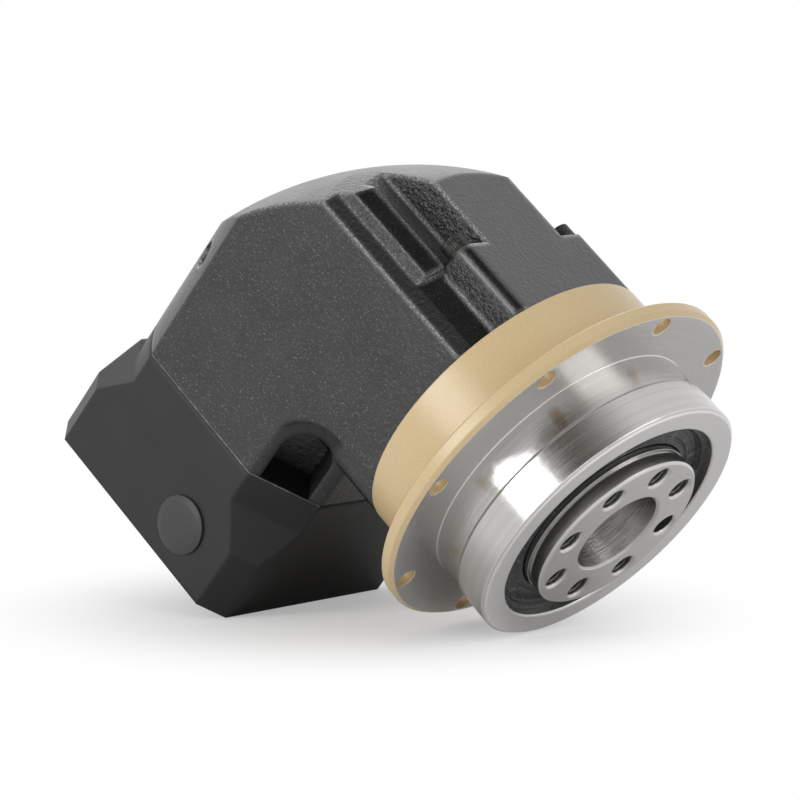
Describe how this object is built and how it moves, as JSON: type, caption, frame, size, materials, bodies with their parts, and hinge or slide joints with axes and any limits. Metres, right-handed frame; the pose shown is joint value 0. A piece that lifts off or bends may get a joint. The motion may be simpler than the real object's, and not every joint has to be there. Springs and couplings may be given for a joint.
{
  "type": "right angle planetary gearbox",
  "caption": "Right angle gearbox: round output flange with bolt holes on a cream ring gear flange, black fluted cast housing, and a square motor adapter with a clamp for the motor shaft.",
  "frame": {"origin": "centre of the mounting flange's front face, on the output axis", "axes": "+X out along the output axis, -Z down along the input axis to the motor, +Y by the right-hand rule"},
  "size_m": [0.1103, 0.086, 0.115],
  "materials": {
    "cream_steel": "cream paint on the rim and body, bare machined steel on the face and pilot",
    "black_casting": "gloss black paint over a fine cast skin",
    "black_aluminium": "smooth satin black anodised",
    "seal_rubber": "smooth black rubber",
    "black_plug": "satin black",
    "zinc_steel": "plated steel",
    "black_screw": "black oxide steel",
    "machined_steel": "turned and ground steel",
    "hardened_steel": "ground, lightly oiled steel"
  },
  "bodies": {
    "housing": {"ring_gear_housing": "cream_steel", "ring_gear": "hardened_steel", "gear_housing": "black_casting", "motor_adapter": "black_aluminium", "output_seal": "seal_rubber", "output_circlip": "hardened_steel", "sun_circlip": "hardened_steel", "input_circlip": "hardened_steel", "input_seal": "seal_rubber", "access_plug": "black_plug", "oil_plug": "zinc_steel", "ring_screws": "black_screw", "ring_screw_washers": "black_screw", "adapter_screws": "black_screw", "front_outer_ring": "hardened_steel", "rear_outer_ring": "hardened_steel", "sun_front_outer_ring": "hardened_steel", "sun_rear_outer_ring": "hardened_steel", "input_upper_outer_ring": "hardened_steel", "input_lower_outer_ring": "hardened_steel"},
    "output": {"output_carrier": "machined_steel", "carrier_plate": "machined_steel", "planet_pins": "hardened_steel", "front_inner_ring": "hardened_steel", "rear_inner_ring": "hardened_steel"},
    "planet_1": {"planet_gear_1": "hardened_steel", "planet_needles_1": "hardened_steel"},
    "planet_2": {"planet_gear_2": "hardened_steel", "planet_needles_2": "hardened_steel"},
    "planet_3": {"planet_gear_3": "hardened_steel", "planet_needles_3": "hardened_steel"},
    "sun": {"sun_shaft": "hardened_steel", "bevel_gear": "hardened_steel", "bevel_nut": "hardened_steel", "sun_front_inner_ring": "hardened_steel", "sun_rear_inner_ring": "hardened_steel"},
    "input": {"input_shaft": "hardened_steel", "clamp_collar": "black_aluminium", "clamp_screw": "black_screw", "input_nut": "hardened_steel", "input_upper_inner_ring": "hardened_steel", "input_lower_inner_ring": "hardened_steel"},
    "output_balls": {"front_balls": "hardened_steel", "rear_balls": "hardened_steel"},
    "sun_balls": {"sun_front_balls": "hardened_steel", "sun_rear_balls": "hardened_steel"},
    "input_balls": {"input_upper_balls": "hardened_steel", "input_lower_balls": "hardened_steel"}
  },
  "joints": [
    {"name": "output_spin", "type": "hinge", "parent": "housing", "child": "output", "pos_m": [0, 0, 0], "axis": [1, 0, 0], "continuous": true},
    {"name": "planet_1_spin", "type": "hinge", "parent": "output", "child": "planet_1", "pos_m": [-0.015, 0, 0.015], "axis": [1, 0, 0], "continuous": true},
    {"name": "planet_2_spin", "type": "hinge", "parent": "output", "child": "planet_2", "pos_m": [-0.015, -0.01299, -0.0075], "axis": [1, 0, 0], "continuous": true},
    {"name": "planet_3_spin", "type": "hinge", "parent": "output", "child": "planet_3", "pos_m": [-0.015, 0.01299, -0.0075], "axis": [1, 0, 0], "continuous": true},
    {"name": "sun_spin", "type": "hinge", "parent": "housing", "child": "sun", "pos_m": [-0.03, 0, 0], "axis": [1, 0, 0], "continuous": true},
    {"name": "input_spin", "type": "hinge", "parent": "housing", "child": "input", "pos_m": [-0.061, 0, -0.03], "axis": [0, 0, 1], "continuous": true},
    {"name": "output_balls_spin", "type": "hinge", "parent": "housing", "child": "output_balls", "pos_m": [0.002, 0, 0], "axis": [1, 0, 0], "continuous": true},
    {"name": "sun_balls_spin", "type": "hinge", "parent": "housing", "child": "sun_balls", "pos_m": [-0.034, 0, 0], "axis": [1, 0, 0], "continuous": true},
    {"name": "input_balls_spin", "type": "hinge", "parent": "housing", "child": "input_balls", "pos_m": [-0.061, 0, -0.03], "axis": [0, 0, 1], "continuous": true}
  ],
  "couplings": [
    {"joint": "planet_1_spin", "follows": "output_spin", "ratio": -3},
    {"joint": "planet_2_spin", "follows": "output_spin", "ratio": -3},
    {"joint": "planet_3_spin", "follows": "output_spin", "ratio": -3},
    {"joint": "sun_spin", "follows": "output_spin", "ratio": 4},
    {"joint": "input_spin", "follows": "output_spin", "ratio": 4},
    {"joint": "output_balls_spin", "follows": "output_spin", "ratio": 0.45652},
    {"joint": "sun_balls_spin", "follows": "output_spin", "ratio": 1.6093},
    {"joint": "input_balls_spin", "follows": "output_spin", "ratio": 1.607}
  ]
}
